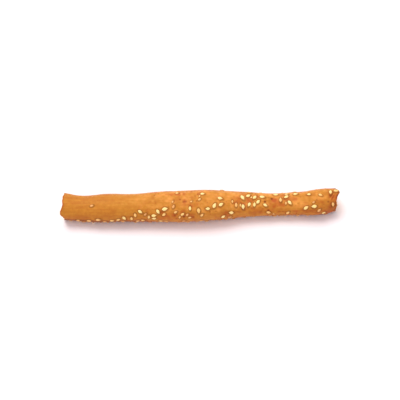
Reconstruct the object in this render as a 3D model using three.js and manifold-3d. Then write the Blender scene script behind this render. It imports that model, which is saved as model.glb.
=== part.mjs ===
// A sesame breadstick: a dry, hand-rolled stick of bread with a rough broken end at either side
// and sesame seeds baked into its crust.
//
// Millimetres. +X runs along the stick from its thick end to its thin one, -Y is the front, +Z is up,
// and z = 0 is the flat underside where the dough lay on its tray.

import * as THREE from 'three';
import { mergeVertices } from 'three/addons/utils/BufferGeometryUtils.js';
import Module from 'manifold-3d';

const wasm = await Module();
wasm.setup();

const { clamp, degToRad, lerp, smoothstep } = THREE.MathUtils;

// ---- The bread ----

// Stations along the rolled stick: [along X, how far its middle wanders towards +Y, its radius].
// It flares at the broken thick end, has a waist behind the flare, is fattest just left of the
// middle, and thins to a long neck before it swells again near the other end.
const STATIONS = [
  [-78.45, 1.6, 8.1],
  [-68, 0.4, 7.3],
  [-55, 0.0, 8.15],
  [-40, -0.2, 8.1],
  [-24, -0.4, 8.5],
  [-3, -0.4, 9.0],
  [10, -0.1, 8.7],
  [24, 0.5, 7.35],
  [40, 0.6, 6.5],
  [57, 0.5, 6.7],
  [69, 1.0, 7.35],
  [78.75, 2.6, 6.6],
];
const LEFT_END = STATIONS[0][0];
const RIGHT_END = STATIONS.at(-1)[0];

// The dough slumped a little as it rose, so a section is wider than it is high.
const WIDENESS = 1.03;
const TALLNESS = 0.94;
// Half of the angle, seen from the middle of a section, that lay flat on the tray.
const FOOT_ANGLE = degToRad(24);

// Low swellings left by rolling: their height as a share of the radius, and their pitch.
const SWELLING = 0.012;
const SWELLING_PITCH = 44;

// The rims of the broken ends: how many jags each has, how high they are and where one is, and how
// far it stands out in a single peak and where. The left rim also leans out to one side.
const LEFT_RIM = { jags: 5, jag: 0.4, jagAt: degToRad(-43), peak: 1.5, peakAt: degToRad(52) };
const LEFT_LEAN = 0.4;
const LEFT_LEAN_TO = degToRad(60);
const RIGHT_RIM = { jags: 4, jag: 0.2, jagAt: degToRad(-30), peak: 1.8, peakAt: degToRad(-9) };
const PEAK_SHARPNESS = 9; // a peak falls off as exp(PEAK_SHARPNESS * (cos(angle from it) - 1))
// The unevenness of an end fades out over this length.
const END_REACH = 18;

// How finely the solid is faceted.
const ROUND_FACETS = 28;
const LENGTH_FACETS = 40;
const CAP_RINGS = [0.4, 0.8]; // shares of the radius, inside the rim
const SPINE_SAMPLES = 600;

// ---- The seeds ----

const SEED_LENGTH = 3.1;
const SEED_WIDTH = 1.8;
const SEED_THICKNESS = 1;
const SEED_SUNK = 0.33; // the share of its thickness that is below the crust
const SEED_FACETS = 8;
const POCKET_GAP = 0.1; // between a seed and the pocket that it baked into the crust
// Half of a seed's outline, from its blunt end to its point: [share of length, share of half width].
const SEED_OUTLINE = [
  [-0.5, 0],
  [-0.36, 0.7],
  [-0.08, 1],
  [0.26, 0.72],
  [0.5, 0],
];

// Where each seed lies: [along X, degrees round from the top to the front, degrees that its point is
// turned up from +X, its size as a share of the usual one]. They follow a band that winds from the
// lower front edge, along the bare left third, up over the top on the right.
const SEEDS = [
  // one on the bare third
  [-62, 19, 15, 0.8],
  // in a row under the lower front edge
  [-70.2, 95, 5, 0.85],
  [-64.2, 94, 180, 0.95],
  [-58.6, 85, 0, 1.05],
  [-50.7, 92, 3, 0.9],
  [-47.1, 85, 30, 0.9],
  [-33, 92, -20, 0.85],
  [-23, 98, 170, 0.9],
  // where the band starts to climb
  [-43.7, 76, -60, 1],
  [-39.5, 78, 90, 0.9],
  [-37.4, 61, 95, 0.9],
  [-34.4, 48, -35, 0.95],
  [-29.5, 72, 85, 0.85],
  [-26.6, 66, 5, 1],
  [-26.7, 81, 190, 0.9],
  [-24.2, 49, -60, 1],
  [-20.2, 39, 12, 1.15],
  [-21, 62, 220, 0.85],
  [-15.3, 31, 65, 0.8],
  [-14.1, 52, 30, 0.75],
  [-13, -27, 10, 0.7],
  [-5.9, 39, 90, 0.85],
  [-6.1, 77, 15, 0.7],
  // round the fat middle
  [-1, 50, 275, 1.1],
  [-0.3, 8, 45, 0.7],
  [1.5, -15, 0, 0.9],
  [0.9, 67, 50, 0.85],
  [4.2, 43, 180, 0.9],
  [8.1, 32, 60, 1.1],
  [11.9, 29, 30, 1],
  [11.5, 6, -10, 1],
  [13.1, 82, 35, 0.9],
  [17.6, 65, 172, 1],
  [20.6, 31, 90, 0.9],
  [24.6, 41, 275, 1],
  // the close cluster at the start of the neck
  [24.5, -1, -60, 1.15],
  [27.9, -13, 35, 1],
  [31.4, -4, 225, 1],
  [28.6, -40, 0, 0.9],
  [35.9, -9, -5, 1.05],
  [33.4, 17, 50, 0.95],
  [28.1, 31, 240, 0.9],
  [31.2, 30, 80, 0.9],
  [37.5, 34, -30, 0.9],
  // along the neck and the thin end
  [44, -26, 0, 0.95],
  [46.4, 8, 90, 0.95],
  [49.7, -7, 210, 1],
  [51.6, 24, -50, 1],
  [50.5, 79, 45, 0.9],
  [55.3, -23, 5, 0.95],
  [62.7, -13, 172, 0.8],
  [60.9, 52, 30, 1.05],
  [65.4, 48, 180, 1.1],
  [68.8, -2, -30, 0.85],
  [68.4, 69, 40, 0.9],
  [73.9, -13, 254, 1],
  [76.3, 51, 270, 0.9],
  [77.3, -20, 4, 1.15],
  // on the back
  [-8, -88, 20, 1],
];

// ---- Colours and finish ----

const crust = new THREE.MeshStandardMaterial({ color: 0xd18435, roughness: 0.75, metalness: 0 });
const toastedSeed = new THREE.MeshStandardMaterial({ color: 0xffe8a4, roughness: 0.5, metalness: 0 });

// ---- The shape of the bread ----

const spine = new THREE.CatmullRomCurve3(
  STATIONS.map(([along, wander, radius]) => new THREE.Vector3(along, wander, radius)),
  false,
  'catmullrom',
  0.5,
).getPoints(SPINE_SAMPLES);

// The middle's wander and the radius at x, read between close samples of the curve.
function sectionAt(x) {
  const start = clamp(spine.findLastIndex((sample) => sample.x <= x), 0, SPINE_SAMPLES - 1);
  const [before, after] = [spine[start], spine[start + 1]];
  const share = (x - before.x) / (after.x - before.x);
  return { wander: lerp(before.y, after.y, share), radius: lerp(before.z, after.z, share) };
}

function swelling(x, angle) {
  const along = (2 * Math.PI * x) / SWELLING_PITCH;
  return 1 + SWELLING * (Math.sin(along + 2 * angle) + Math.sin(1.7 * along - angle));
}

// How far the rim of the nearer end is offset along X at an angle round the stick.
function rimOffset(x, angle) {
  const { jags, jag, jagAt, peak, peakAt } = x < 0 ? LEFT_RIM : RIGHT_RIM;
  const ragged = jag * Math.cos(jags * (angle - jagAt));
  const peaked = peak * Math.exp(PEAK_SHARPNESS * (Math.cos(angle - peakAt) - 1));
  return x < 0 ? ragged - peaked - LEFT_LEAN * Math.cos(angle - LEFT_LEAN_TO) : ragged + peaked;
}

// A point of the bread: x along the stick, angle round it from the top (0) past the front (90
// degrees) to the underside, and reach from its middle (0) to its crust (1).
function breadPoint(x, angle, reach = 1) {
  const { wander, radius } = sectionAt(x);
  const swollen = radius * swelling(x, angle) * reach;
  const endShare = smoothstep(Math.abs(x), RIGHT_END - END_REACH, RIGHT_END);
  const middleHeight = radius * TALLNESS * Math.cos(FOOT_ANGLE);
  return new THREE.Vector3(
    x + endShare * reach ** 2 * rimOffset(x, angle),
    wander - swollen * WIDENESS * Math.sin(angle),
    Math.max(0, middleHeight + swollen * TALLNESS * Math.cos(angle)),
  );
}

// A straight lathed stick of radius 1, closed at both ends, whose every vertex is then moved to
// its place in the bread.
function breadGeometry() {
  const profile = [
    new THREE.Vector2(0, LEFT_END),
    ...CAP_RINGS.map((reach) => new THREE.Vector2(reach, LEFT_END)),
  ];
  for (let ring = 0; ring <= LENGTH_FACETS; ring++) {
    profile.push(new THREE.Vector2(1, lerp(LEFT_END, RIGHT_END, ring / LENGTH_FACETS)));
  }
  profile.push(
    ...CAP_RINGS.toReversed().map((reach) => new THREE.Vector2(reach, RIGHT_END)),
    new THREE.Vector2(0, RIGHT_END),
  );
  const geometry = new THREE.LatheGeometry(profile, ROUND_FACETS);
  const position = geometry.getAttribute('position');
  for (let i = 0; i < position.count; i++) {
    const [across, along, up] = [position.getX(i), position.getY(i), position.getZ(i)];
    const place = breadPoint(along, Math.atan2(across, up), Math.hypot(across, up));
    position.setXYZ(i, place.x, place.y, place.z);
  }
  return geometry;
}

// ---- The shape and place of a seed ----

// A teardrop, lathed about its length and pressed flat. It lies along X with its point at +X.
function seedGeometry(length, width, thickness) {
  const outline = SEED_OUTLINE.map(
    ([along, half]) => new THREE.Vector2((half * width) / 2, along * length),
  );
  return new THREE.LatheGeometry(outline, SEED_FACETS)
    .rotateZ(-Math.PI / 2)
    .scale(1, 1, thickness / width);
}

// The matrix that lays a seed on the crust with a share of its thickness sunk in it.
function seedSeat(along, round, turn, size) {
  const angle = degToRad(round);
  const step = 0.5;
  const here = breadPoint(along, angle);
  const lengthwise = breadPoint(along + step, angle).sub(breadPoint(along - step, angle)).normalize();
  const roundwise = breadPoint(along, angle - step / 10).sub(breadPoint(along, angle + step / 10));
  const outward = new THREE.Vector3().crossVectors(lengthwise, roundwise).normalize();
  const pointing = lengthwise.clone().applyAxisAngle(outward, degToRad(turn));
  const sideways = new THREE.Vector3().crossVectors(outward, pointing);
  const lifted = here.addScaledVector(outward, (0.5 - SEED_SUNK) * SEED_THICKNESS * size);
  return new THREE.Matrix4().makeBasis(pointing, sideways, outward).setPosition(lifted);
}

// ---- Joining and cutting ----

function solidOf(geometry) {
  const bare = new THREE.BufferGeometry()
    .setAttribute('position', geometry.getAttribute('position').clone())
    .setIndex(geometry.index);
  const merged = mergeVertices(bare, 1e-3);
  const vertProperties = merged.getAttribute('position').array;
  const triVerts = new Uint32Array(merged.index.array);
  return new wasm.Manifold(new wasm.Mesh({ numProp: 3, vertProperties, triVerts }));
}

function geometryOf(solid) {
  const { vertProperties, triVerts } = solid.getMesh();
  const geometry = new THREE.BufferGeometry()
    .setAttribute('position', new THREE.BufferAttribute(vertProperties, 3))
    .setIndex(new THREE.BufferAttribute(triVerts, 1));
  geometry.computeVertexNormals();
  return geometry;
}

// ---- The whole stick ----

const breadstickWithSeeds = new THREE.Group();

const seed = seedGeometry(SEED_LENGTH, SEED_WIDTH, SEED_THICKNESS);
const gap = 2 * POCKET_GAP;
const pocket = seedGeometry(SEED_LENGTH + gap, SEED_WIDTH + gap, SEED_THICKNESS + gap);

let bread = solidOf(breadGeometry());
SEEDS.forEach(([along, round, turn, size], i) => {
  const seat = seedSeat(along, round, turn, size).scale(new THREE.Vector3(size, size, size));
  bread = bread.subtract(solidOf(pocket.clone().applyMatrix4(seat)));

  const mesh = new THREE.Mesh(seed, toastedSeed);
  mesh.name = `sesame_seed_${String(i + 1).padStart(2, '0')}`;
  seat.decompose(mesh.position, mesh.quaternion, mesh.scale);
  breadstickWithSeeds.add(mesh);
});

const breadstick = new THREE.Mesh(geometryOf(bread), crust);
breadstick.name = 'breadstick';
breadstickWithSeeds.add(breadstick);

export default breadstickWithSeeds;
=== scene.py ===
"""A sesame breadstick: dry hand-rolled bread with broken ends and sesame seeds baked into its crust.

The file is laid out as an add-on. Run as a script, it registers its tools and makes the bread, the
seeds and the stage around the fixed frame.
"""

from itertools import product

import bpy
import numpy as np
from bpy.props import FloatProperty, FloatVectorProperty, IntProperty, PointerProperty
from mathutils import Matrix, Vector


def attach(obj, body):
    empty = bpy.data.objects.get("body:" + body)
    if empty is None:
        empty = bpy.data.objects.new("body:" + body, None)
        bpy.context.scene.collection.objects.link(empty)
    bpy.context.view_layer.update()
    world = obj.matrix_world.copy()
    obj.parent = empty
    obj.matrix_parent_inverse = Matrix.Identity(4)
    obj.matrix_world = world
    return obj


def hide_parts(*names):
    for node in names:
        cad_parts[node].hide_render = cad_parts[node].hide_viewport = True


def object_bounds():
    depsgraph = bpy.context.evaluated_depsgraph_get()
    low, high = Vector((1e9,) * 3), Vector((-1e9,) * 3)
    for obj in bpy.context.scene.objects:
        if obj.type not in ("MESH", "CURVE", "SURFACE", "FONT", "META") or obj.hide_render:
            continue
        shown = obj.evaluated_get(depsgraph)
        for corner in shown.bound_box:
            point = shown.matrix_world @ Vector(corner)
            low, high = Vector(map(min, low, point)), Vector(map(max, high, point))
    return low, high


bl_info = {
    "name": "Sesame Breadstick",
    "version": (1, 0, 0),
    "blender": (4, 5, 0),
    "location": "View3D > Sidebar > Breadstick",
    "description": "Makes a baked breadstick with sesame seeds, and a pale stage for it",
    "category": "Add Mesh",
}

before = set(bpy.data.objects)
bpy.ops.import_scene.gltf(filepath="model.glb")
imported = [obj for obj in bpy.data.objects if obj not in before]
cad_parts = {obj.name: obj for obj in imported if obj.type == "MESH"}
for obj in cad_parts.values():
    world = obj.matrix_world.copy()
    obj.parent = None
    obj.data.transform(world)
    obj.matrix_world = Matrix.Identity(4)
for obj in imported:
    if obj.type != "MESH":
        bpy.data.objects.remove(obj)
CAD_BOX = [list(corner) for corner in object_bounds()]
CAD_MIDDLE = (Vector(CAD_BOX[0]) + Vector(CAD_BOX[1])) / 2

MM = 0.001

# ---- The rolled stick, in millimetres ----

# Stations along it: [along X, how far its middle wanders towards +Y, its radius].
STATIONS = [
    [-78.45, 1.6, 8.1],
    [-68, 0.4, 7.3],
    [-55, 0.0, 8.15],
    [-40, -0.2, 8.1],
    [-24, -0.4, 8.5],
    [-3, -0.4, 9.0],
    [10, -0.1, 8.7],
    [24, 0.5, 7.35],
    [40, 0.6, 6.5],
    [57, 0.5, 6.7],
    [69, 1.0, 7.35],
    [78.75, 2.6, 6.6],
]
LEFT_END, RIGHT_END = STATIONS[0][0], STATIONS[-1][0]
WIDENESS, TALLNESS = 1.03, 0.94  # of a section, as shares of the radius
FOOT_ANGLE = np.radians(24)  # half of the angle that lay flat on the tray
FOOT_EASE = 0.3  # how gently the side turns into the flat underside
SWELLING, SWELLING_PITCH = 0.012, 44  # left by rolling: a share of the radius, and millimetres

# The rims of the broken ends, as offsets along X: number, height and angle of the jags, height and
# angle of one peak, and on the left a lean to one side.
LEFT_JAGS, LEFT_JAG, LEFT_JAG_AT = 5, 0.4, np.radians(-43)
LEFT_PEAK, LEFT_PEAK_AT = 1.5, np.radians(52)
LEFT_LEAN, LEFT_LEAN_TO = 0.4, np.radians(60)
RIGHT_JAGS, RIGHT_JAG, RIGHT_JAG_AT = 4, 0.2, np.radians(-30)
RIGHT_PEAK, RIGHT_PEAK_AT = 1.8, np.radians(-9)
PEAK_SHARPNESS = 9  # a peak falls off as exp(PEAK_SHARPNESS * (cos(angle from it) - 1))
END_REACH = 18  # the unevenness of an end fades out over this length
RAGGED_REACH = 3  # and the fine raggedness of its rim over this one
RIM_CORNER = 0.35  # radius of the worn corner between the crust and a broken face
WORN_RINGS = 5  # rings of points over the worn corner
TRAY_FADE = 2.0  # the crust's relief grows to its full height over this height above the tray

# Between these places along X the bare third of the stick turns into the seeded rest.
BARE_TO, SEEDED_FROM = -45, -18

# ---- The seeds, in millimetres ----

SEED_LENGTH, SEED_WIDTH, SEED_THICKNESS = 3.1, 1.8, 1.0
SEED_SUNK = 0.33  # the share of a seed's thickness below the crust
SEED_APART = 2.7  # least distance between the middles of two scattered seeds
SEED_LOWEST = 1.2  # least height of the middle of a scattered seed above the tray
# A seed's half width is sin(pi t^SEED_TAPER) from its blunt end (t = 0) to its point (t = 1), and its
# half thickness is that to the power SEED_FULLNESS, each as a share of the largest.
SEED_TAPER, SEED_FULLNESS = 0.8, 0.6
SEAT_GAP = 0.02  # between a seed and the crust below it
SEAT_EASE = 0.3  # the crust climbs to a seed's edge over this share of the seed's half size
# The ring of browner crust round a seed is partly toasting and partly painted shade. It lies a little
# off the seed, towards +X, the front and down, as a painted shadow. It is brownest at the first of
# these shares of the seed's half size, and the second is its breadth.
RING_PAINTED_SHADOW_SHIFT = np.array([0.12, -0.18, -0.12])
RING_AT, RING_BREADTH = 1.12, 0.4

# How toasted each seed of the frame is where it isn't pale, by its number: 0 is ivory, 1 brown.
SEED_TOAST = {
    1: 0.8, 2: 0.6, 3: 0.55, 4: 0.55, 5: 0.35, 6: 0.5, 7: 0.55, 8: 0.5, 10: 0.4, 11: 0.4, 13: 0.4,
    18: 0.4, 19: 0.75, 20: 0.5, 21: 0.3, 23: 0.45, 24: 0.4, 25: 0.5, 27: 0.5, 34: 0.5, 39: 0.5,
    46: 0.45, 49: 0.5, 54: 0.4, 55: 0.7, 56: 0.15, 57: 0.5, 58: 0.35, 59: 0.4,
}
PALE_TOAST = 0.16  # the most that a pale seed is toasted
BROWN_SEED, BROWN_SUNK = 0.6, 0.12  # a seed browner than the first is sunk deeper by the second

# Fainter seeds of the front: [along X, degrees round from the top to the front, turn, toast, size].
FAINT_SEEDS = [
    [-55, 101, 0, 0.7, 0.9],
    [-44.5, 103, 10, 0.7, 0.9],
    [-36, 98, 20, 0.5, 0.9],
    [-31.5, 60, 40, 0.8, 0.75],
    [-19.5, 101, 0, 0.7, 0.9],
    [-15.7, 13, 60, 0.6, 0.6],
    [-10.2, 61, 35, 0.3, 0.85],
    [-7.5, 64, 50, 0.6, 0.7],
    [-11.9, 74, 75, 0.5, 0.7],
    [-9.5, 98, 10, 0.8, 0.9],
    [-5, 15, 30, 0.5, 0.55],
    [-0.2, -5, 60, 0.5, 0.55],
    [0.5, 101, 5, 0.7, 0.9],
    [17, 92, 10, 0.8, 0.9],
    [18.5, 17, 90, 0.5, 0.65],
    [23.1, 33, 80, 0.5, 0.65],
    [29.6, -6, 70, 0.2, 0.5],
    [47.3, 110, -5, 0.9, 0.9],
    [40.5, 106, 0, 0.8, 0.85],
    [42.4, 89, -50, 0.5, 0.55],
    [39.4, 73, -20, 0.45, 0.95],
    [50.2, -26, 10, 0.25, 0.85],
    [49.4, 25, 80, 0.6, 0.7],
    [55, -50, 0, 0.7, 0.9],
    [65.3, 29, 15, 0.65, 0.6],
    [71.3, 92, 5, 0.1, 0.8],
    [13, -50, 5, 0.6, 0.9],
    [62.3, 110, 5, 0.9, 0.9],
]
# In degrees round from the top, the hidden sides are behind the first and below the second.
BEHIND_FROM, BELOW_FROM = -78, 124
# The winding band of seeds: it climbs between these places along X, and before them and after them
# its middle and its half breadth are these, in degrees round from the top.
BAND_FROM, BAND_TO = -60, 25
BAND_MIDDLE, BAND_BREADTH = (125, 20), (24, 76)
SCATTER_FROM_END, SCATTER_ROUND = 3, (-145, 150)  # mm from the ends, and degrees round from the top
SCATTER_TOAST, SCATTER_SIZE = (0.05, 0.75), (0.75, 1.1)
SUNK_SPREAD = 0.16  # how much deeper than SEED_SUNK a scattered seed may be sunk
LOW_SEED_TOAST = 0.3  # scattered seeds below the front are browner, as the crust is there

# How much browner a seed is at its point, its blunt end, its sides and its very edge, and on top.
SEED_POINT_TOAST, SEED_BLUNT_TOAST = 0.4, 0.12
SEED_SIDE_TOAST, SEED_EDGE_TOAST, SEED_TOP_TOAST = 0.3, 0.33, -0.12

# ---- Browning, painted shade and redness of the crust, where 0 is golden and 1 dark brown or red ----

# Where there are two numbers they are for the bare third and for the seeded rest.
BASE_TOAST = (0.4, 0.26)
FLECK_TOAST = (0.08, 0.3)
# Painted shade: the crust is darker on its flanks, away from the top.
FLANK_PAINTED_SHADE = (0.06, 0.18)
# The underside is darker: partly browned on the tray, partly painted shade.
UNDERSIDE_TOAST_AND_SHADE = (0.35, 0.3)
THIN_FLANK_PAINTED_SHADE = 0.12  # painted shade added to the flanks of the thin end
THIN_TIP_TOAST = 0.1
LEFT_RIM_TOAST = 0.2
RIGHT_RIM_TOAST, RIGHT_PEAK_TOAST = 0.12, 0.48
# Painted shade in the creases' grooves, and a painted highlight on the fold that stands up between
# them.
CREASE_PAINTED_SHADE = 0.8
POLE_TOAST = 0.3
BASE_RED = (0.0, 0.06)
CLOUD_RED = (0.1, 0.6)
PIT_RED, BLOTCH_RED, MOST_RED = 0.5, 0.7, 0.9
# Painted shade in the crumb's pores, darker the deeper they are.
PORE_PAINTED_SHADE = 0.7

# ---- The rings of a broken face ----

# How far a ring is within a broken face goes from 0 on the crust over 0.5 past the worn corner to 1 in
# the middle. Crust turns into crumb between the first two of these, and the crumb's material and the
# discs of the flat map start at the others.
CRUMB_FROM, CRUMB_FULL = 0.2, 0.62
CRUMB_SLOT_FROM, DISC_FROM = 0.35, 0.3

# The flat map of the bread, in shares of a square: the crust's rectangle starts at the margin and
# has the sheet's height, and above it are two discs.
MAP_MARGIN, SHEET_HEIGHT = 0.004, 0.79
DISC_RADIUS, DISC_V = 0.09, 0.9
LEFT_DISC_U, RIGHT_DISC_U = 0.1, 0.3

# ---- The stage, in metres ----

FLOOR_HALF = 3.0
LAMP_SIZE = 1.3
LAMP_PLACE = Vector((-0.5, 0.75, 1.75))  # from the middle of the stick
SENSOR_WIDTH = 36  # millimetres
CLIP_START, CLIP_END = 0.01, 20


# ---- Fields of numbers ----


def smooth(low, high, value):
    """0 up to `low`, 1 from `high` on, and an eased step (3t^2 - 2t^3) between them."""
    t = np.clip((value - low) / (high - low), 0, 1)
    return t * t * (3 - 2 * t)


def by_part(share, pair):
    """The first of a pair where `share` is 0, the second where it is 1, and evenly between them."""
    return pair[0] + (pair[1] - pair[0]) * share


def lattice_values(cells, seed):
    """A fixed random value from 0 to 1 for each whole-numbered cell: its numbers are hashed."""
    mixed = cells.astype(np.int64) @ np.array([73856093, 19349663, 83492791]) + seed * 40503
    mixed = (mixed ^ (mixed >> 13)) & 0xFFFFFFFF
    mixed = (mixed * 1274126177) & 0xFFFFFFFF
    mixed = ((mixed ^ (mixed >> 15)) * 668265263) & 0xFFFFFFFF
    return ((mixed ^ (mixed >> 16)) & 0xFFFFFF) / 0xFFFFFF


def noise(points, size, seed):
    """Value noise from -1 to 1: random values on a lattice of spacing `size`, eased between corners."""
    place = points / np.asarray(size, float)
    low = np.floor(place)
    ease = (place - low) ** 2 * (3 - 2 * (place - low))
    total = 0
    for corner in product((0, 1), repeat=3):
        weight = np.prod(np.where(np.array(corner) == 1, ease, 1 - ease), axis=-1)
        total = total + weight * lattice_values(low + corner, seed)
    return 2 * total - 1


def layered(points, *layers):
    """Sum of noises, each given as its height, its lattice's spacing and its seed."""
    return sum(height * noise(points, size, seed) for height, size, seed in layers)


def pore_distance(points, size, seed):
    """Distance to the nearest of the random centres that lie one to a cube of edge `size`, in edges."""
    place = points / size
    low = np.floor(place)
    nearest = np.full(place.shape[:-1], np.inf)
    for step in product((-1, 0, 1), repeat=3):
        cell = low + step
        centre = cell + np.stack([lattice_values(cell, seed + axis) for axis in range(3)], axis=-1)
        nearest = np.minimum(nearest, np.linalg.norm(place - centre, axis=-1))
    return nearest


def catmull_rom(points, per_span=60):
    """Points of the uniform Catmull-Rom curve through `points`, whose ends are carried on straight."""
    points = np.asarray(points, float)
    run = np.vstack([2 * points[0] - points[1], points, 2 * points[-1] - points[-2]])
    t = np.linspace(0, 1, per_span, endpoint=False)[None, :, None]
    p0, p1, p2, p3 = (run[k : len(run) - 3 + k][:, None, :] for k in range(4))
    curve = p1 + 0.5 * (
        (p2 - p0) * t + (2 * p0 - 5 * p1 + 4 * p2 - p3) * t**2 + (3 * p1 - p0 - 3 * p2 + p3) * t**3
    )
    return np.vstack([curve.reshape(-1, points.shape[1]), points[-1:]])


# ---- The shape of the bread ----

SPINE = catmull_rom(STATIONS)


def section(x):
    """How far the middle wanders towards +Y, and the radius, at x."""
    return np.interp(x, SPINE[:, 0], SPINE[:, 1]), np.interp(x, SPINE[:, 0], SPINE[:, 2])


def rim_offset(x, angle):
    """How far the rim of the nearer end stands along X: jags and a peak, and a lean on the left.

    Jags are a cosine of the angle times their number, and a lean is a cosine of the angle.
    """
    left_peak = LEFT_PEAK * np.exp(PEAK_SHARPNESS * (np.cos(angle - LEFT_PEAK_AT) - 1))
    right_peak = RIGHT_PEAK * np.exp(PEAK_SHARPNESS * (np.cos(angle - RIGHT_PEAK_AT) - 1))
    left = LEFT_JAG * np.cos(LEFT_JAGS * (angle - LEFT_JAG_AT)) - left_peak
    right = RIGHT_JAG * np.cos(RIGHT_JAGS * (angle - RIGHT_JAG_AT)) + right_peak
    return np.where(x < 0, left - LEFT_LEAN * np.cos(angle - LEFT_LEAN_TO), right)


def bread_point(x, angle, reach=1.0):
    """A point of the bread, in mm: an ellipse of the section's size about its wandering middle.

    `angle` goes from the top (0) past the front (90 degrees) to the underside, and `reach` from the
    middle (0) to the crust (1). Two sines of x and the angle swell the ellipse, and near the ends x
    goes with the rim's offset times reach^2. What would be below the tray is pressed up to it: a
    height h becomes (h + sqrt(h^2 + FOOT_EASE^2)) / 2.
    """
    x, angle, reach = np.broadcast_arrays(x, angle, reach)
    wander, radius = section(x)
    along = 2 * np.pi * x / SWELLING_PITCH
    swelling = 1 + SWELLING * (np.sin(along + 2 * angle) + np.sin(1.7 * along - angle))
    swollen = radius * swelling * reach
    end_share = smooth(RIGHT_END - END_REACH, RIGHT_END, np.abs(x))
    height = radius * TALLNESS * np.cos(FOOT_ANGLE) + swollen * TALLNESS * np.cos(angle)
    pressed = (height + np.sqrt(height**2 + FOOT_EASE**2)) / 2
    return np.stack(
        [
            x + end_share * reach**2 * rim_offset(x, angle),
            wander - swollen * WIDENESS * np.sin(angle),
            pressed,
        ],
        axis=-1,
    )


def seeded_share(points):
    """0 on the bare third of the stick, 1 on the seeded rest."""
    return smooth(BARE_TO, SEEDED_FROM, points[..., 0])


def bread_axes(x, angle):
    """Unit vectors at a crust point, along the stick and outward, from its neighbours."""
    step = 0.5  # mm along the stick, and a tenth of it in radians round
    along = bread_point(x + step, angle) - bread_point(x - step, angle)
    back = bread_point(x, angle - step / 10) - bread_point(x, angle + step / 10)
    outward = np.cross(along, back)
    return (
        along / np.linalg.norm(along, axis=-1, keepdims=True),
        outward / np.linalg.norm(outward, axis=-1, keepdims=True),
    )


# ---- Spots and creases of the crust ----

SPOTS_FROM_END = 4
SPOTS_ROUND = 150  # in degrees from the top, on either side
PITS_FROM, PITS_FULL = -48, -22  # along X: the bare third is almost without pits


def crust_spots(count, seed, radii, heights):
    """Random round spots of the crust: their middles, radii and heights."""
    draw = np.random.default_rng(seed)
    x = draw.uniform(LEFT_END + SPOTS_FROM_END, RIGHT_END - SPOTS_FROM_END, count)
    middles = bread_point(x, np.radians(draw.uniform(-SPOTS_ROUND, SPOTS_ROUND, count)))
    return list(zip(middles, draw.uniform(*radii, count), draw.uniform(*heights, count)))


# Pits of the front that show, as [along X, degrees round, radius, depth].
FRONT_PITS = [
    [-9.7, 14, 1.0, -0.17],
    [-8.0, 14, 1.1, -0.17],
    [-11.5, 5, 0.7, -0.22],
    [-22, 53, 0.6, -0.22],
    [-14.6, 68, 0.7, -0.28],
    [-9.5, 73, 0.9, -0.35],
    [-4.0, 77, 0.8, -0.25],
    [-1.2, -16, 0.6, -0.25],
    [-2.0, 14, 0.5, -0.25],
    [4.0, 21, 0.5, -0.2],
    [23.5, 24, 0.5, -0.25],
    [37.4, 17, 0.6, -0.8],
    [33.3, 3, 0.5, -0.2],
    [41.4, 0, 0.7, -0.45],
    [39.2, 62, 0.6, -0.35],
    [67.0, 18, 0.5, -0.25],
    [73.7, 34, 0.9, -0.22],
]
# Redder blotches of the front, as [along X, degrees round, radius, how red].
RED_BLOTCHES = [
    [-30, 45, 1.7, 0.3],
    [-22.3, 51, 1.4, 1.0],
    [-15.3, 65, 1.7, 0.8],
    [-12.0, 0, 1.2, 0.5],
    [-8.8, 14, 1.6, 0.5],
    [-4.8, 73, 1.4, 0.8],
    [-5.0, -30, 1.0, 0.6],
    [14.8, 62, 0.9, 0.5],
    [21.5, -2, 1.0, 0.7],
    [27.5, 6, 1.3, 0.9],
    [31, 60, 1.3, 0.4],
    [35, 77, 1.1, 0.5],
    [42.4, 9, 1.5, 1.6],
    [42.6, 42, 1.1, 1.1],
    [45.6, 34, 1.3, 0.9],
    [47.8, 34, 1.2, 0.9],
    [47.5, -20, 1.1, 0.7],
    [69, 28, 1.4, 0.4],
    [75.8, 12, 2.4, 0.8],
]
BLISTERS = crust_spots(150, 11, (0.6, 1.8), (0.03, 0.13))
PITS = [
    (middle, radius, depth * smooth(PITS_FROM, PITS_FULL, middle[0]))
    for middle, radius, depth in crust_spots(110, 12, (0.3, 0.6), (-0.32, -0.12))
] + [(bread_point(x, np.radians(turn)), radius, depth) for x, turn, radius, depth in FRONT_PITS]

# Creases pinched into the thin end: from one [along X, degrees round] to the other, and the depth,
# which is negative for a fold that stands up between two of them.
CREASES = [
    [[73.4, -34], [73.8, 9], 0.5],
    [[75.5, -28], [75.1, 2], 0.5],
    [[75.1, 0], [74.4, 16], 0.5],
    [[75.5, 9], [74.4, 30], -0.35],
    [[76.8, -2], [75.7, 27], 0.5],
    [[75.3, 38], [75.6, 60], 0.3],
    [[77.9, 36], [78.0, 60], 0.2],
]
CREASE_WIDTH = 0.38
CREASE_POINTS = 30  # along the path of each crease
CREASE_REACH = 5  # nothing farther along X from the middle of a crease is looked at


def dimples(points, spots):
    """Sum of round bumps height * exp(-(distance / radius)^2), which end three radii away."""
    total = np.zeros(points.shape[:-1])
    for middle, radius, height in spots:
        near = np.abs(points[..., 0] - middle[0]) < 3 * radius
        gap = points[near] - middle
        total[near] += height * np.exp(-np.sum(gap**2, axis=-1) / radius**2)
    return total


def crease_depth(points):
    """Grooves -depth * exp(-(distance to the crease / width)^2), which fade in and out along it."""
    total = np.zeros(points.shape[:-1])
    share = np.linspace(0, 1, CREASE_POINTS)
    fade = np.sin(np.pi * (0.1 + 0.8 * share))
    for start, end, depth in CREASES:
        x, turn = (start[k] + share * (end[k] - start[k]) for k in (0, 1))
        path = bread_point(x, np.radians(turn))
        near = np.abs(points[..., 0] - x.mean()) < CREASE_REACH
        gap = np.linalg.norm(points[near][:, None] - path, axis=-1)
        groove = np.exp(-((gap.min(axis=1) / CREASE_WIDTH) ** 2))
        total[near] -= depth * fade[gap.argmin(axis=1)] * groove
    return total


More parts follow.
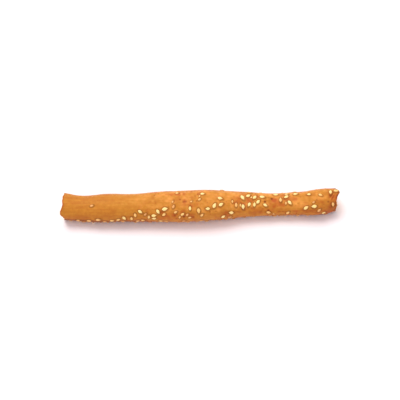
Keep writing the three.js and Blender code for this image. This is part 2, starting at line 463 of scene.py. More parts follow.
def crust_relief(points, wrinkle):
    """Height of the crust over the rolled shape, in mm: dents, lengthwise wrinkles, skin and spots."""
    dents = layered(points, (0.16, 11, 1), (0.07, 5, 2))
    wrinkles = layered(points, (1, (15, 1.7, 1.7), 3), (0.5, (6, 1.1, 1.1), 4))
    skin = layered(points, (0.4, 1.5, 5), (0.25, 0.8, 6))
    wrinkle = wrinkle * (1 + 0.8 * seeded_share(points))
    relief = dents + wrinkle * (wrinkles + skin) + dimples(points, BLISTERS) + dimples(points, PITS)
    return (relief + crease_depth(points)) * smooth(0.0, TRAY_FADE, points[..., 2])


# ---- Where the seeds lie ----


def seed_of_frame(name):
    """Middle, axes (point, side, out), sizes of a seed of the frame, from its own corners, in mm.

    Its axes are the principal ones: it is longest along the first and thinnest along the last.
    """
    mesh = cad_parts[name].data
    corners = np.empty(3 * len(mesh.vertices), np.float32)
    mesh.vertices.foreach_get("co", corners)
    corners = np.unique(np.round(corners.reshape(-1, 3) / MM, 3), axis=0)
    axes = np.linalg.svd(corners - corners.mean(0))[2]
    local = (corners - corners.mean(0)) @ axes.T
    wander, radius = section(corners[:, 0].mean())
    middle = np.array([corners[:, 0].mean(), wander, radius * TALLNESS])
    out = axes[2] * np.sign(axes[2] @ (corners.mean(0) - middle))
    # The blunt end is the wide one, so the corners' widths fall towards the point.
    point = -axes[0] * np.sign(np.sum(np.abs(local[:, 1]) * local[:, 0]))
    centre = corners.mean(0) + ((local.max(0) + local.min(0)) / 2) @ axes
    return centre, np.array([point, np.cross(out, point), out]), np.ptp(local, axis=0)


def seed_on_crust(along, round_angle, turn, size, sunk, wrinkle):
    """Middle, axes and sizes of a seed laid on the finished crust at a place, as seed_of_frame.

    Its middle is the rolled shape's point moved outward by the relief and by 0.5 - sunk of its own
    thickness, and it is turned about the outward axis.
    """
    x, angle = np.asarray(along, float), np.radians(round_angle)
    lengthwise, out = bread_axes(x, angle)
    place = bread_point(x, angle)
    place = place + out * (crust_relief(place, wrinkle) + (0.5 - sunk) * SEED_THICKNESS * size)
    back = np.cross(out, lengthwise)
    turned = np.radians(turn)
    point = np.cos(turned) * lengthwise + np.sin(turned) * back
    sizes = size * np.array([SEED_LENGTH, SEED_WIDTH, SEED_THICKNESS])
    return place, np.array([point, np.cross(out, point), out]), sizes


def scattered_places(count, seed, taken):
    """Random places for the seeds of the hidden sides, as [along, round, turn, toast, size].

    A place is kept by chance where the winding band is dense: its middle goes from the underside's
    edge on the left to the top on the right, and it widens on the way.
    """
    draw = np.random.default_rng(seed)
    places, taken = [], [np.asarray(place) for place in taken]
    while len(places) < count:
        x = draw.uniform(LEFT_END + SCATTER_FROM_END, RIGHT_END - SCATTER_FROM_END)
        turned, chance, turn = draw.uniform(*SCATTER_ROUND), draw.uniform(), draw.uniform(0, 360)
        toast, size = draw.uniform(*SCATTER_TOAST), draw.uniform(*SCATTER_SIZE)
        rightward = smooth(BAND_FROM, BAND_TO, x)
        off_middle = abs(turned - by_part(rightward, BAND_MIDDLE))
        from_band = off_middle / by_part(rightward, BAND_BREADTH)
        hidden = turned < BEHIND_FROM or turned > BELOW_FROM
        point = bread_point(x, np.radians(turned))
        if not hidden or chance > np.exp(-(from_band**2)) or point[2] < SEED_LOWEST:
            continue
        if min(np.linalg.norm(point - other) for other in taken) < SEED_APART:
            continue
        places.append([x, turned, turn, toast + LOW_SEED_TOAST * (turned > BELOW_FROM), size])
        taken.append(point)
    return places


def seed_layout(settings, wrinkle):
    """All seeds as (node name or None, middle, axes, sizes, toast)."""
    draw = np.random.default_rng(21)
    layout = []
    for name in sorted(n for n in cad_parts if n.startswith("sesame_seed")):
        pale = draw.uniform(0.0, PALE_TOAST)
        toast = SEED_TOAST.get(int(name.rsplit("_", 1)[1]), pale)
        layout.append((name, *seed_of_frame(name), toast))
    taken = [middle for _, middle, *_ in layout]
    taken += [bread_point(x, np.radians(turned)) for x, turned, *_ in FAINT_SEEDS]
    hidden = scattered_places(settings.hidden_count, 22, taken)
    for x, turned, turn, toast, size in FAINT_SEEDS + hidden:
        sunk = SEED_SUNK + draw.uniform(0, SUNK_SPREAD) + BROWN_SUNK * (toast > BROWN_SEED)
        layout.append((None, *seed_on_crust(x, turned, turn, size, sunk, wrinkle), toast))
    return layout


# ---- Meshes ----


def seed_grid(rings, columns):
    """A teardrop of length, width and thickness 1 along X, blunt at t = 0 and pointed at t = 1.

    Gives the points, t for each, and the faces.
    """
    t = (1 - np.cos(np.linspace(0, np.pi, rings + 2)[1:-1])) / 2
    around = np.linspace(0, 2 * np.pi, columns, endpoint=False)
    half = np.sin(np.pi * t**SEED_TAPER)
    y = half[:, None] * np.cos(around)
    z = half[:, None] ** SEED_FULLNESS * np.sin(around)
    x = np.broadcast_to(t[:, None], y.shape)
    points = np.stack([x - 0.5, y / 2, z / 2], axis=-1).reshape(-1, 3)
    points = np.vstack([points, [[-0.5, 0, 0], [0.5, 0, 0]]])
    shares = np.concatenate([x.ravel(), [0, 1]])
    return points, shares, closed_grid_faces(rings, columns)


def closed_grid_faces(rings, columns):
    """Quads between neighbouring rings, and fans to a pole before the first ring and after the last.

    The poles are the last two points. Faces turn outward when rings run along +X and columns turn
    from the top of a ring towards -Y, seen from the front.
    """
    ring, column = np.meshgrid(np.arange(rings - 1), np.arange(columns), indexing="ij")
    here = ring * columns + column
    beside = ring * columns + (column + 1) % columns
    quads = np.stack([here, beside, beside + columns, here + columns], axis=-1).reshape(-1, 4)
    edge = np.arange(columns)
    after = (edge + 1) % columns
    first, last = rings * columns, rings * columns + 1
    start = np.stack([after, edge, np.full(columns, first)], axis=-1)
    base = (rings - 1) * columns
    finish = np.stack([base + edge, base + after, np.full(columns, last)], axis=-1)
    return quads.tolist() + start.tolist() + finish.tolist()


def new_piece(name, points_mm, faces, materials, values):
    """A smooth mesh object at the origin from points in mm, with a named number for each point."""
    mesh = bpy.data.meshes.new(name)
    mesh.from_pydata((np.asarray(points_mm) * MM).tolist(), [], faces)
    for material in materials:
        mesh.materials.append(material)
    for key, numbers in values.items():
        attribute = mesh.attributes.new(key, "FLOAT", "POINT")
        attribute.data.foreach_set("value", numbers.astype(np.float32))
    mesh.shade_smooth()
    mesh.update()
    piece = bpy.data.objects.new(name, mesh)
    bpy.context.scene.collection.objects.link(piece)
    return piece


def bread_rings(settings):
    """x and reach of each ring from the middle of the left face, over its worn corner, along the
    crust and down to the middle of the right face, and how far each is within a broken face."""
    face = np.linspace(1, 0, settings.face_rings + 1)[:-1]
    worn = np.linspace(0, np.pi / 2, WORN_RINGS)
    xs, reaches, insides = [], [], []
    for end, side in ((LEFT_END, -1), (RIGHT_END, 1)):
        share = RIM_CORNER / section(end)[1]
        corner_x = end - side * RIM_CORNER * (1 - np.sin(worn))
        corner_reach = 1 - share * (1 - np.cos(worn))
        flat_reach = face[1:] * (1 - share)
        # From the crust inward, and turned round on the left.
        order = slice(None, None, side)
        xs.append(np.concatenate([corner_x, np.full(len(flat_reach), end)])[order])
        reaches.append(np.concatenate([corner_reach, flat_reach])[order])
        insides.append(np.concatenate([worn / np.pi, 0.5 + 0.5 * (1 - face[1:])])[order])
    body = np.linspace(LEFT_END + RIM_CORNER, RIGHT_END - RIM_CORNER, settings.rings)[1:-1]
    return (
        np.concatenate([xs[0], body, xs[1]]),
        np.concatenate([reaches[0], np.ones(len(body)), reaches[1]]),
        np.concatenate([insides[0], np.zeros(len(body)), insides[1]]),
    )


def seat_seeds(points, layout):
    """Shapes the crust to the seeds, and gives the ring round each seed's edge (0 to 1), which is
    partly browner crust and partly painted shade.

    Under a seed the crust follows the seed's lower half, -thickness/2 * sqrt(1 - d^2), where d is the
    distance from its middle as a share of its outline. Outside it climbs to the seed's edge as
    exp(-((d - 1) / SEAT_EASE)^2).
    """
    ring = np.zeros(points.shape[:-1])
    for _, middle, axes, sizes, _ in layout:
        near = np.abs(points[..., 0] - middle[0]) < sizes[0]
        local = (points[near] - middle) @ axes.T
        shifted = (points[near] - middle - RING_PAINTED_SHADOW_SHIFT) @ axes.T
        half = sizes[:2] / 2
        d, ring_d = (np.linalg.norm(place[:, :2] / half, axis=1) for place in (local, shifted))
        on_side = np.abs(local[:, 2]) < sizes[0] / 2
        target = -sizes[2] / 2 * np.sqrt(np.clip(1 - d**2, 0, 1)) - SEAT_GAP
        weight = np.exp(-((np.clip(d - 1, 0, None) / SEAT_EASE) ** 2)) * on_side
        points[near] += ((target - local[:, 2]) * weight)[:, None] * axes[2]
        # The ring is partly toasting and partly painted shade, set off the seed as a painted shadow.
        toast_and_shade = np.exp(-(((ring_d - RING_AT) / RING_BREADTH) ** 2)) * on_side
        ring[near] = np.maximum(ring[near], toast_and_shade)
    return ring


def crumb_relief(points):
    """Height of the broken crumb in mm: rough lumps with large, middling and fine open pores."""
    # The places are bent by noises, so that the pores aren't round.
    bent = points + 0.75 * np.stack([noise(points, 1.5, 45 + axis) for axis in range(3)], axis=-1)
    large = smooth(0.42, 0.12, pore_distance(bent, 2.6, 31))
    middling = smooth(0.45, 0.12, pore_distance(bent, 1.35, 35))
    fine = smooth(0.5, 0.15, pore_distance(bent, 0.75, 39))
    lumps = layered(points, (0.5, 2.4, 43), (0.3, 1.0, 44))
    return lumps - 0.9 * large - 0.55 * middling - 0.3 * fine


def bake_uv(mesh, rings, columns, reach, insides):
    """A flat map of the bread: the crust is a rectangle, and each broken face a disc above it."""

    def on_disc(middle_u, length, column):
        turn = 2 * np.pi * column / columns
        return np.stack([middle_u + length * np.cos(turn), DISC_V + length * np.sin(turn)], axis=-1)

    # The four corners of each quad, then the three of each triangle of the two fans.
    ring, column = np.meshgrid(np.arange(rings - 1), np.arange(columns), indexing="ij")
    corner_ring = np.stack([ring, ring, ring + 1, ring + 1], axis=-1).reshape(-1)
    corner_column = np.stack([column, column + 1, column + 1, column], axis=-1).reshape(-1)
    quad_ring = np.repeat(np.arange(rings - 1), 4 * columns)
    quad_inside = (insides[quad_ring] + insides[quad_ring + 1]) / 2
    disc_u = np.where(quad_ring < rings / 2, LEFT_DISC_U, RIGHT_DISC_U)
    disc = on_disc(disc_u, DISC_RADIUS * reach[corner_ring], corner_column)
    body = np.flatnonzero(insides < DISC_FROM)
    along = np.clip((corner_ring - body[0]) / (body[-1] - body[0]), 0, 1)
    sheet_u = MAP_MARGIN + (1 - 2 * MAP_MARGIN) * along
    sheet_v = MAP_MARGIN + SHEET_HEIGHT * corner_column / columns
    sheet = np.stack([sheet_u, sheet_v], axis=-1)
    quads = np.where((quad_inside > DISC_FROM)[:, None], disc, sheet)

    edge = np.arange(columns)
    spokes = np.tile([1, 1, 0], columns)
    start = np.stack([edge + 1, edge, edge + 0.5], axis=-1).reshape(-1)
    finish = np.stack([edge, edge + 1, edge + 0.5], axis=-1).reshape(-1)
    fans = [
        on_disc(LEFT_DISC_U, DISC_RADIUS * reach[0] * spokes, start),
        on_disc(RIGHT_DISC_U, DISC_RADIUS * reach[-1] * spokes, finish),
    ]
    uv = np.concatenate([quads, *fans]).astype(np.float32)
    mesh.uv_layers.new(name="OFBake").data.foreach_set("uv", uv.ravel())


def crust_toast(points, xs, angles, creases):
    """How dark the crust is: browned unevenly all over and more on its underside and rims, with painted
    shade on its flanks, underside and creases and a painted highlight on a fold.
    """
    x, upward, seeded = points[..., 0], np.cos(angles), seeded_share(points)
    toast = by_part(seeded, BASE_TOAST)
    toast += layered(points, (0.05, 17, 51), (0.05, (9, 3.5, 3.5), 52))
    toast += seeded * layered(points, (0.12, (4.5, 2.6, 2.6), 56), (0.12, 1.5, 57))
    toast += by_part(seeded, FLECK_TOAST) * smooth(0.6, 0.95, noise(points, 0.95, 58))

    # Painted shade: darker on the flanks away from the top, and more on the flanks of the thin end.
    toast += by_part(seeded, FLANK_PAINTED_SHADE) * smooth(0.8, 0.35, upward)
    toast += THIN_FLANK_PAINTED_SHADE * smooth(56, 72, x) * smooth(0.98, 0.5, upward)
    toast += THIN_TIP_TOAST * smooth(72, 75.5, x)
    # The underside is darker, partly browned on the tray and partly painted shade. Its edge is uneven,
    # and on the bare third it is higher and sharper.
    edge = upward + layered(points, (0.09, (9, 2.5, 2.5), 59), (0.06, 1.6, 60))
    toast += UNDERSIDE_TOAST_AND_SHADE[0] * (1 - seeded) * smooth(0.06, -0.22, edge)
    toast += UNDERSIDE_TOAST_AND_SHADE[1] * seeded * smooth(-0.15, -0.7, edge)

    by_peak = smooth(0.6, 1.0, np.cos(angles - RIGHT_PEAK_AT))
    right_rim = RIGHT_RIM_TOAST + RIGHT_PEAK_TOAST * by_peak
    rim_toast = np.where(xs[:, None] < 0, LEFT_RIM_TOAST, right_rim)
    toast += rim_toast * smooth(2.0, 0.3, RIGHT_END - np.abs(xs))[:, None]
    # Painted shade in the grooves of the creases, and a painted highlight on the fold between them.
    return toast - CREASE_PAINTED_SHADE * creases


def crust_redness(points, pit):
    """How red the crust is: in clouds, in the placed blotches and in its pits."""
    seeded = seeded_share(points)
    cloud = layered(points, (1, (5, 2.6, 2.6), 54), (0.5, 1.5, 55))
    blotches = [
        (bread_point(x, np.radians(turn)), radius, redness) for x, turn, radius, redness in RED_BLOTCHES
    ]
    red = by_part(seeded, BASE_RED) + by_part(seeded, CLOUD_RED) * smooth(0.1, 1.0, cloud)
    return np.clip(red + PIT_RED * pit + BLOTCH_RED * dimples(points, blotches), 0, MOST_RED)


def make_bread(settings, layout, materials):
    """The bread as one closed grid: the rolled shape, moved out by its crust's or crumb's relief.

    The crust moves along its outward axis and the crumb along X, and between them they are shared.
    """
    xs, reach, insides = bread_rings(settings)
    columns = settings.columns
    angles = np.linspace(0, 2 * np.pi, columns, endpoint=False)
    points = bread_point(xs[:, None], angles[None, :], reach[:, None])
    on_face = smooth(CRUMB_FROM, CRUMB_FULL, insides)[:, None] * np.ones(columns)
    _, out = bread_axes(np.broadcast_to(xs[:, None], on_face.shape), angles[None, :])
    end_side = np.sign(xs)[:, None, None] * np.array([1.0, 0, 0])
    # Along a rim the break is ragged, and the raggedness fades out behind it.
    rim = smooth(RIGHT_END - RAGGED_REACH, RIGHT_END, np.abs(xs))[:, None] * reach[:, None] ** 2
    ragged = layered(points * [0, 1, 1], (0.3, 1.9, 7), (0.22, 0.9, 8))
    points += end_side * (rim * ragged)[..., None]
    creases = crease_depth(points)
    crust = crust_relief(points, settings.wrinkle / MM)
    crumb = crumb_relief(points) * smooth(1.0, 0.85, reach)[:, None]
    points += out * (crust * (1 - on_face))[..., None] + end_side * (crumb * on_face)[..., None]
    ring = seat_seeds(points, layout) * (1 - on_face)
    points[..., 2] = np.maximum(points[..., 2], 0)
    poles = np.stack([points[0].mean(0), points[-1].mean(0)])

    # Pits are darker and redder the deeper they are: partly their own browner colour, partly painted
    # shade.
    pit = smooth(-0.06, -0.3, dimples(points, PITS))
    # Each field over the grid, and its value at the two poles.
    fields = {
        "toast": (crust_toast(points, xs, angles, creases), POLE_TOAST),
        "red": (crust_redness(points, pit), 0),
        "pit": (pit, 0),
        "seed_ring_and_shade": (ring, 0),
        "crumb": (on_face, 1),
        # Painted shade in the pores of the crumb, by their depth.
        "pore_shade": (PORE_PAINTED_SHADE * smooth(0.1, 1.3, -crumb * on_face), 0),
    }
    values = {key: np.append(field.ravel(), [at_pole] * 2) for key, (field, at_pole) in fields.items()}
    all_points = np.vstack([points.reshape(-1, 3), poles])
    faces = closed_grid_faces(len(xs), columns)
    piece = new_piece("baked_bread", all_points, faces, materials, values)
    bake_uv(piece.data, len(xs), columns, reach, insides)
    within = (insides[:-1] + insides[1:]) / 2 > CRUMB_SLOT_FROM
    slots = np.concatenate([np.repeat(within, columns), np.ones(2 * columns, bool)])
    piece.data.polygons.foreach_set("material_index", slots.astype(np.int32))
    return piece


def seed_toast(unit, shares, toast):
    """How toasted a seed is over its skin: most at its point, then at its edge, least on top."""
    height = unit[:, 2]
    toast = toast + SEED_TOP_TOAST + SEED_POINT_TOAST * smooth(0.8, 1.0, shares)
    toast += SEED_BLUNT_TOAST * smooth(0.1, 0.0, shares)
    toast += SEED_SIDE_TOAST * smooth(0.45, 0.0, height)
    return toast + SEED_EDGE_TOAST * smooth(0.16, -0.02, height)


def make_seeds(name, seeds, rings, columns, material):
    """One mesh of the given seeds: the unit teardrop scaled, turned and moved to each place."""
    unit, shares, unit_faces = seed_grid(rings, columns)
    points, toasts, faces = [], [], []
    for count, (_, middle, axes, sizes, toast) in enumerate(seeds):
        local = unit * sizes
        # Each is uneven in its own way, by a twentieth at most.
        local = local * (1 + 0.05 * noise(unit * 3 + middle, 1.0, 61)[:, None])
        points.append(middle + local @ axes)
        toasts.append(seed_toast(unit, shares, toast))
        faces += [[corner + count * len(unit) for corner in face] for face in unit_faces]
    return new_piece(name, np.vstack(points), faces, [material], {"toast": np.concatenate(toasts)})


# ---- Materials ----

# Real sizes of the patterns, in millimetres. Flour is finer than its size here: it is drawn coarser,
# so that it shows.
CRUST_PATCH, CRUMB_PATCH, SEED_SPECKLE, FLOUR_GRAIN = 2.2, 1.1, 0.8, 0.3
STREAK_WIDTH, STREAK_STRETCH = 1.2, 10  # the streaks of the rolling are so many times as long


def linear(code):
    """A hex sRGB colour as linear red, green, blue and an alpha of 1."""
    channels = [int(code[k : k + 2], 16) / 255 for k in (1, 3, 5)]
    return [c / 12.92 if c <= 0.04045 else ((c + 0.055) / 1.055) ** 2.4 for c in channels] + [1.0]


def add_node(tree, kind, inputs=None, stops=None, **settings):
    """Adds a node, with its settings, its inputs as values or links, and a ramp's stops."""
    node = tree.nodes.new(kind)
    for key, value in settings.items():
        setattr(node, key, value)
    for key, value in (inputs or {}).items():
        if isinstance(value, bpy.types.NodeSocket):
            tree.links.new(value, node.inputs[key])
        else:
            node.inputs[key].default_value = value
    for count, (position, colour) in enumerate(stops or []):
        elements = node.color_ramp.elements
        element = elements[count] if count < 2 else elements.new(position)
        element.position, element.color = position, colour
    return node


def new_material(name):
    """An empty material and its node tree."""
    material = bpy.data.materials.new(name)
    material.use_nodes = True
    material.node_tree.nodes.clear()
    return material, material.node_tree


def baked_crust(settings):
    """Baked wheat crust: smooth and dry with a faint sheen, golden with browner and redder patches and
    painted shade, faint lengthwise streaks from rolling, and a fine grain of flour."""
    material, tree = new_material("baked_wheat_crust")
    place = add_node(tree, "ShaderNodeTexCoord").outputs["Object"]
    toast, red, pit, ring = (
        add_node(tree, "ShaderNodeAttribute", attribute_name=name).outputs["Fac"]
        for name in ("toast", "red", "pit", "seed_ring_and_shade")
    )
    inputs = {"Vector": place, "Scale": 1 / (CRUST_PATCH * MM), "Detail": 4.0, "Roughness": 0.6}
    patches = add_node(tree, "ShaderNodeTexNoise", inputs).outputs["Fac"]
    inputs = {"Vector": place, "Scale": (1 / STREAK_STRETCH, 1, 1)}
    stretched = add_node(tree, "ShaderNodeMapping", inputs).outputs[0]
    inputs = {"Vector": stretched, "Scale": 1 / (STREAK_WIDTH * MM), "Detail": 3.0}
    streaks = add_node(tree, "ShaderNodeTexNoise", inputs).outputs["Fac"]
    inputs = {"Vector": place, "Scale": 1 / (FLOUR_GRAIN * MM), "Detail": 2.0}
    flour = add_node(tree, "ShaderNodeTexNoise", inputs).outputs["Fac"]

    # Both noises vary about 0.5: toast + 0.36 * (patches - 0.5) + 0.3 * (streaks - 0.5).
    browned = toast
    for texture, amount in ((patches, 0.36), (streaks, 0.3)):
        inputs = {0: texture, 1: amount, 2: browned}
        browned = add_node(tree, "ShaderNodeMath", inputs, operation="MULTIPLY_ADD").outputs[0]
    browned = add_node(tree, "ShaderNodeMath", {0: browned, 1: 0.33}, operation="SUBTRACT").outputs[0]
    stops = [
        (0.0, linear("#F5AB53")),
        (0.36, [*settings.crust_colour, 1.0]),
        (0.62, linear("#B3651E")),
        (0.85, linear("#88460C")),
        (1.0, linear("#602E08")),
    ]
    colour = add_node(tree, "ShaderNodeValToRGB", {0: browned}, stops).outputs["Color"]
    # Red blotches, rings of browner crust and painted shade round the seeds, and pits that are darker
    # the deeper they are, partly as painted shade, are laid on it.
    for share, most, over in ((red, 1.0, "#B8541C"), (ring, 0.6, "#88500C"), (pit, 0.8, "#763A04")):
        laid = add_node(tree, "ShaderNodeMath", {0: share, 1: most}, operation="MULTIPLY").outputs[0]
        inputs = {0: laid, 6: colour, 7: linear(over)}
        colour = add_node(tree, "ShaderNodeMix", inputs, data_type="RGBA").outputs[2]

    inputs = {"Value": patches, "To Min": 0.5, "To Max": 0.7}
    roughness = add_node(tree, "ShaderNodeMapRange", inputs).outputs[0]
    inputs = {"Height": flour, "Strength": 0.35, "Distance": 0.06 * MM}
    normal = add_node(tree, "ShaderNodeBump", inputs).outputs[0]
    shader = add_node(
        tree,
        "ShaderNodeBsdfPrincipled",
        {
            "Base Color": colour,
            "Roughness": roughness,
            "Normal": normal,
            "IOR": 1.45,
            "Specular IOR Level": 0.22,
            "Sheen Weight": 0.22,
            "Sheen Roughness": 0.4,
            "Sheen Tint": linear("#FFEFDD"),
            "Subsurface Weight": 0.12,
            "Subsurface Radius": (1.0, 0.45, 0.2),
            "Subsurface Scale": 1.2 * MM,
        },
    )
    add_node(tree, "ShaderNodeOutputMaterial", {"Surface": shader.outputs[0]})
    return material


def bread_crumb(settings):
    """Dry bread crumb: torn open, matt and pale yellow, with painted shade in its pores, and browner
    towards the crust.
    """
    material, tree = new_material("dry_bread_crumb")
    place = add_node(tree, "ShaderNodeTexCoord").outputs["Object"]
    crumb, pore_shade = (
        add_node(tree, "ShaderNodeAttribute", attribute_name=name).outputs["Fac"]
        for name in ("crumb", "pore_shade")
    )
    inputs = {"Vector": place, "Scale": 1 / (CRUMB_PATCH * MM), "Detail": 5.0, "Roughness": 0.65}
    patches = add_node(tree, "ShaderNodeTexNoise", inputs).outputs["Fac"]
    stops = [(0.3, linear("#D9A866")), (0.7, [*settings.crumb_colour, 1.0])]
    torn = add_node(tree, "ShaderNodeValToRGB", {0: patches}, stops).outputs["Color"]
    # Painted shade in the pores.
    inputs = {0: pore_shade, 6: torn, 7: linear("#B98448")}
    deep = add_node(tree, "ShaderNodeMix", inputs, data_type="RGBA").outputs[2]
    inputs = {"Value": crumb, "From Min": 0.3, "From Max": 0.95}
    inward = add_node(tree, "ShaderNodeMapRange", inputs).outputs[0]
    inputs = {0: inward, 6: linear("#B06A2C"), 7: deep}
    colour = add_node(tree, "ShaderNodeMix", inputs, data_type="RGBA").outputs[2]
    inputs = {"Height": patches, "Strength": 0.5, "Distance": 0.15 * MM}
    normal = add_node(tree, "ShaderNodeBump", inputs).outputs[0]
    shader = add_node(
        tree,
        "ShaderNodeBsdfPrincipled",
        {
            "Base Color": colour,
            "Roughness": 0.85,
            "Normal": normal,
            "IOR": 1.45,
            "Specular IOR Level": 0.25,
            "Subsurface Weight": 0.15,
            "Subsurface Radius": (1.0, 0.6, 0.3),
            "Subsurface Scale": 1.0 * MM,
        },
    )
    add_node(tree, "ShaderNodeOutputMaterial", {"Surface": shader.outputs[0]})
    return material


def toasted_sesame(settings):
    """Hulled sesame seed, toasted: a thin skin with an oily sheen, ivory, browner where toasted."""
    material, tree = new_material("toasted_sesame_skin")
    place = add_node(tree, "ShaderNodeTexCoord").outputs["Object"]
    toast = add_node(tree, "ShaderNodeAttribute", attribute_name="toast").outputs["Fac"]
    inputs = {"Vector": place, "Scale": 1 / (SEED_SPECKLE * MM), "Detail": 3.0}
    speckle = add_node(tree, "ShaderNodeTexNoise", inputs).outputs["Fac"]
    # The noise varies about 0.5: toast + 0.24 * (speckle - 0.5).
    inputs = {0: speckle, 1: 0.24, 2: toast}
    browned = add_node(tree, "ShaderNodeMath", inputs, operation="MULTIPLY_ADD").outputs[0]
    browned = add_node(tree, "ShaderNodeMath", {0: browned, 1: 0.12}, operation="SUBTRACT").outputs[0]
    stops = [
        (0.0, [*settings.seed_colour, 1.0]),
        (0.3, linear("#F8CC77")),
        (0.62, linear("#EDB268")),
        (1.0, linear("#C4803C")),
    ]
    colour = add_node(tree, "ShaderNodeValToRGB", {0: browned}, stops).outputs["Color"]
    inputs = {"Height": speckle, "Strength": 0.3, "Distance": 0.05 * MM}
    normal = add_node(tree, "ShaderNodeBump", inputs).outputs[0]
    shader = add_node(
        tree,
        "ShaderNodeBsdfPrincipled",
        {
            "Base Color": colour,
            "Roughness": 0.42,
            "Normal": normal,
            "IOR": 1.47,
            "Subsurface Weight": 0.15,
            "Subsurface Radius": (1.0, 0.7, 0.4),
            "Subsurface Scale": 0.6 * MM,
        },
    )
    add_node(tree, "ShaderNodeOutputMaterial", {"Surface": shader.outputs[0]})
    return material


def matt_paper(settings):
    """White paper: rough and without gloss, so that nothing but the soft shadow shows on it."""
    material, tree = new_material("matt_paper")
    inputs = {"Base Color": [*settings.floor_colour, 1.0], "Roughness": 0.9}
    shader = add_node(tree, "ShaderNodeBsdfPrincipled", inputs)
    add_node(tree, "ShaderNodeOutputMaterial", {"Surface": shader.outputs[0]})
    return material


def shared_material(name, make, settings):
    """The material of that name, made the first time it is asked for."""
    return bpy.data.materials.get(name) or make(settings)


# ---- The floor, the light and the camera ----


def lay_floor(scene, settings):
    """A square of paper at z = 0."""
    corners = [(x * FLOOR_HALF, y * FLOOR_HALF, 0) for x, y in ((-1, -1), (1, -1), (1, 1), (-1, 1))]
    mesh = bpy.data.meshes.new("floor")
    mesh.from_pydata(corners, [], [(0, 1, 2, 3)])
    mesh.materials.append(matt_paper(settings))
    floor = bpy.data.objects.new("floor", mesh)
    scene.collection.objects.link(floor)


def light_sky(scene, settings):
    """Even light from all round."""
    scene.world = bpy.data.worlds.new("even_sky")
    scene.world.use_nodes = True
    background = scene.world.node_tree.nodes["Background"]
    background.inputs["Color"].default_value = [*settings.sky_colour, 1.0]
    background.inputs["Strength"].default_value = settings.sky


def hang_lamp(scene, settings):
    """A large round lamp that faces the middle of the stick."""
    lamp = bpy.data.lights.new("soft_key", "AREA")
    lamp.shape, lamp.size, lamp.energy = "DISK", LAMP_SIZE, settings.key
    key = bpy.data.objects.new("soft_key", lamp)
    key.location = CAD_MIDDLE + LAMP_PLACE
    key.rotation_euler = (CAD_MIDDLE - key.location).to_track_quat("-Z", "Y").to_euler()
    scene.collection.objects.link(key)


def place_camera(scene, settings):
    """A camera turned to a place a little above the middle of the stick.

    Its azimuth a and elevation e give the way to it: (sin a cos e, -cos a cos e, sin e).
    """
    data = bpy.data.cameras.new("camera")
    data.lens, data.sensor_width = settings.lens, SENSOR_WIDTH
    data.clip_start, data.clip_end = CLIP_START, CLIP_END
    camera = bpy.data.objects.new("camera", data)
    azimuth, elevation = settings.azimuth, settings.elevation
    across = np.cos(elevation)
    away = Vector((np.sin(azimuth) * across, -np.cos(azimuth) * across, np.sin(elevation)))
    turn = (-away).to_track_quat("-Z", "Y")
    aim = Vector((0, CAD_MIDDLE.y, CAD_MIDDLE.z)) + turn @ Vector((0, settings.headroom, 0))
    camera.location = aim + away * settings.distance
    camera.rotation_euler = turn.to_euler()
    scene.collection.objects.link(camera)
    scene.camera = camera


# ---- Settings ----


class BreadSettings(bpy.types.PropertyGroup):
    """The bread's mesh, relief and colours."""

    rings: IntProperty(
        name="Rings", description="Rings of points along the crust", default=490, min=60, max=520
    )
    columns: IntProperty(
        name="Columns", description="Points round the stick", default=172, min=24, max=180
    )
    face_rings: IntProperty(
        name="Face rings", description="Rings within a broken face", default=34, min=6, max=40
    )
    wrinkle: FloatProperty(
        name="Wrinkles",
        description="Height of the lengthwise wrinkles of the crust",
        default=0.055 * MM,
        min=0,
        unit="LENGTH",
        precision=6,
    )
    crust_colour: FloatVectorProperty(
        name="Crust",
        description="Colour of the golden crust",
        subtype="COLOR",
        default=linear("#CA872B")[:3],
    )
    crumb_colour: FloatVectorProperty(
        name="Crumb",
        description="Colour of the broken crumb",
        subtype="COLOR",
        default=linear("#F3DDA6")[:3],
    )


class SeedSettings(bpy.types.PropertyGroup):
    """The seeds' meshes, number and colour."""

    placed_rings: IntProperty(
        name="Rings", description="Rings of a placed seed's mesh", default=13, min=4, max=24
    )
    placed_columns: IntProperty(
        name="Columns", description="Points round a placed seed", default=18, min=6, max=32
    )
    small_rings: IntProperty(
        name="Small rings", description="Rings of a scattered seed", default=7, min=3, max=12
    )
    small_columns: IntProperty(
        name="Small columns", description="Points round a scattered seed", default=10, min=5, max=16
    )
    hidden_count: IntProperty(
        name="Hidden seeds",
        description="Seeds scattered over the sides away from the front",
        default=62,
        min=0,
        max=90,
    )
    seed_colour: FloatVectorProperty(
        name="Seed",
        description="Colour of a pale seed",
        subtype="COLOR",
        default=linear("#FFE99A")[:3],
    )


class StageSettings(bpy.types.PropertyGroup):
    """The floor, the light and the camera."""

    azimuth: FloatProperty(
        name="Azimuth",
        description="Turn of the camera about the stick",
        default=np.radians(-1.65),
        subtype="ANGLE",
    )
    elevation: FloatProperty(
        name="Elevation",
        description="Height angle of the camera",
        default=np.radians(57),
        subtype="ANGLE",
    )
    distance: FloatProperty(
        name="Distance", description="From the camera to the stick", default=0.77, unit="LENGTH"
    )
    lens: FloatProperty(
        name="Lens",
        description="Focal length in millimetres",
        default=120,
        subtype="DISTANCE_CAMERA",
    )
    headroom: FloatProperty(
        name="Headroom",
        description="How far above the middle of the stick the camera aims",
        default=2.55 * MM,
        unit="LENGTH",
    )
    sky: FloatProperty(
        name="Sky", description="Brightness of the even light all round", default=0.86, min=0
    )
    sky_colour: FloatVectorProperty(
        name="Sky colour",
        description="Tint of the even light",
        subtype="COLOR",
        default=linear("#FFF1F4")[:3],
    )
    key: FloatProperty(
        name="Key", description="Power of the soft light from above", default=21, min=0, unit="POWER"
    )
    floor_colour: FloatVectorProperty(
        name="Floor",
        description="Colour of the floor",
        subtype="COLOR",
        default=linear("#FDFBFC")[:3],
    )


# ---- Tools ----


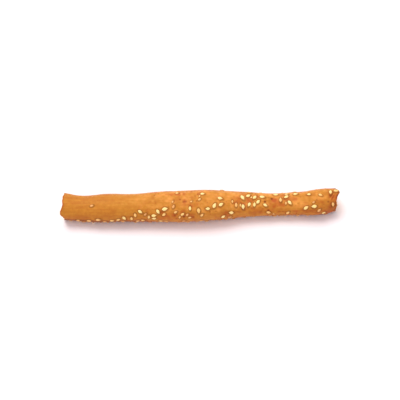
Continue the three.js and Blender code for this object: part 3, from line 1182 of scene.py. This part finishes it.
class BREADSTICK_OT_bread(bpy.types.Operator):
    """Make the baked bread with its seats for the seeds"""

    bl_idname = "breadstick.bread"
    bl_label = "Bread"

    def execute(self, context):
        settings = context.scene.breadstick_bread
        layout = seed_layout(context.scene.breadstick_seeds, settings.wrinkle / MM)
        materials = [baked_crust(settings), bread_crumb(settings)]
        piece = make_bread(settings, layout, materials)
        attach(piece, "root")
        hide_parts("breadstick")
        return {"FINISHED"}


class BREADSTICK_OT_placed_seeds(bpy.types.Operator):
    """Make a fine seed in the place of each seed of the frame"""

    bl_idname = "breadstick.placed_seeds"
    bl_label = "Placed seeds"

    def execute(self, context):
        settings = context.scene.breadstick_seeds
        material = shared_material("toasted_sesame_skin", toasted_sesame, settings)
        layout = seed_layout(settings, context.scene.breadstick_bread.wrinkle / MM)
        rings, columns = settings.placed_rings, settings.placed_columns
        for seed in layout:
            node = seed[0]
            if node is None:
                continue
            name = node.replace("sesame_seed", "toasted_seed")
            piece = make_seeds(name, [seed], rings, columns, material)
            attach(piece, "root")
            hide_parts(node)
        return {"FINISHED"}


class BREADSTICK_OT_scattered_seeds(bpy.types.Operator):
    """Make the fainter seeds of the front and the seeds of the hidden sides"""

    bl_idname = "breadstick.scattered_seeds"
    bl_label = "Scattered seeds"

    def execute(self, context):
        settings = context.scene.breadstick_seeds
        material = shared_material("toasted_sesame_skin", toasted_sesame, settings)
        layout = seed_layout(settings, context.scene.breadstick_bread.wrinkle / MM)
        loose = [seed for seed in layout if seed[0] is None]
        rings, columns = settings.small_rings, settings.small_columns
        piece = make_seeds("scattered_seeds", loose, rings, columns, material)
        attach(piece, "root")
        return {"FINISHED"}


class BREADSTICK_OT_stage(bpy.types.Operator):
    """Make the floor, the light and the camera"""

    bl_idname = "breadstick.stage"
    bl_label = "Stage"

    def execute(self, context):
        scene, settings = context.scene, context.scene.breadstick_stage
        scene.view_settings.view_transform = "Standard"
        lay_floor(scene, settings)
        light_sky(scene, settings)
        hang_lamp(scene, settings)
        place_camera(scene, settings)
        return {"FINISHED"}


OPERATORS = [
    BREADSTICK_OT_stage,
    BREADSTICK_OT_bread,
    BREADSTICK_OT_placed_seeds,
    BREADSTICK_OT_scattered_seeds,
]
SETTINGS = {
    "breadstick_bread": BreadSettings,
    "breadstick_seeds": SeedSettings,
    "breadstick_stage": StageSettings,
}


class BREADSTICK_PT_tools(bpy.types.Panel):
    """The breadstick's settings and tools"""

    bl_idname = "BREADSTICK_PT_tools"
    bl_label = "Sesame breadstick"
    bl_space_type = "VIEW_3D"
    bl_region_type = "UI"
    bl_category = "Breadstick"

    def draw(self, context):
        for name, group in SETTINGS.items():
            settings = getattr(context.scene, name)
            column = self.layout.column()
            for key in group.__annotations__:
                column.prop(settings, key)
        for operator in OPERATORS:
            self.layout.operator(operator.bl_idname)


CLASSES = [*SETTINGS.values(), *OPERATORS, BREADSTICK_PT_tools]


def register():
    for cls in CLASSES:
        bpy.utils.register_class(cls)
    for name, group in SETTINGS.items():
        setattr(bpy.types.Scene, name, PointerProperty(type=group))


def unregister():
    for name in SETTINGS:
        delattr(bpy.types.Scene, name)
    for cls in reversed(CLASSES):
        bpy.utils.unregister_class(cls)


def main():
    """Makes every piece and the stage."""
    register()
    bpy.ops.breadstick.stage()
    bpy.ops.breadstick.bread()
    bpy.ops.breadstick.placed_seeds()
    bpy.ops.breadstick.scattered_seeds()


if __name__ == "__main__":
    main()
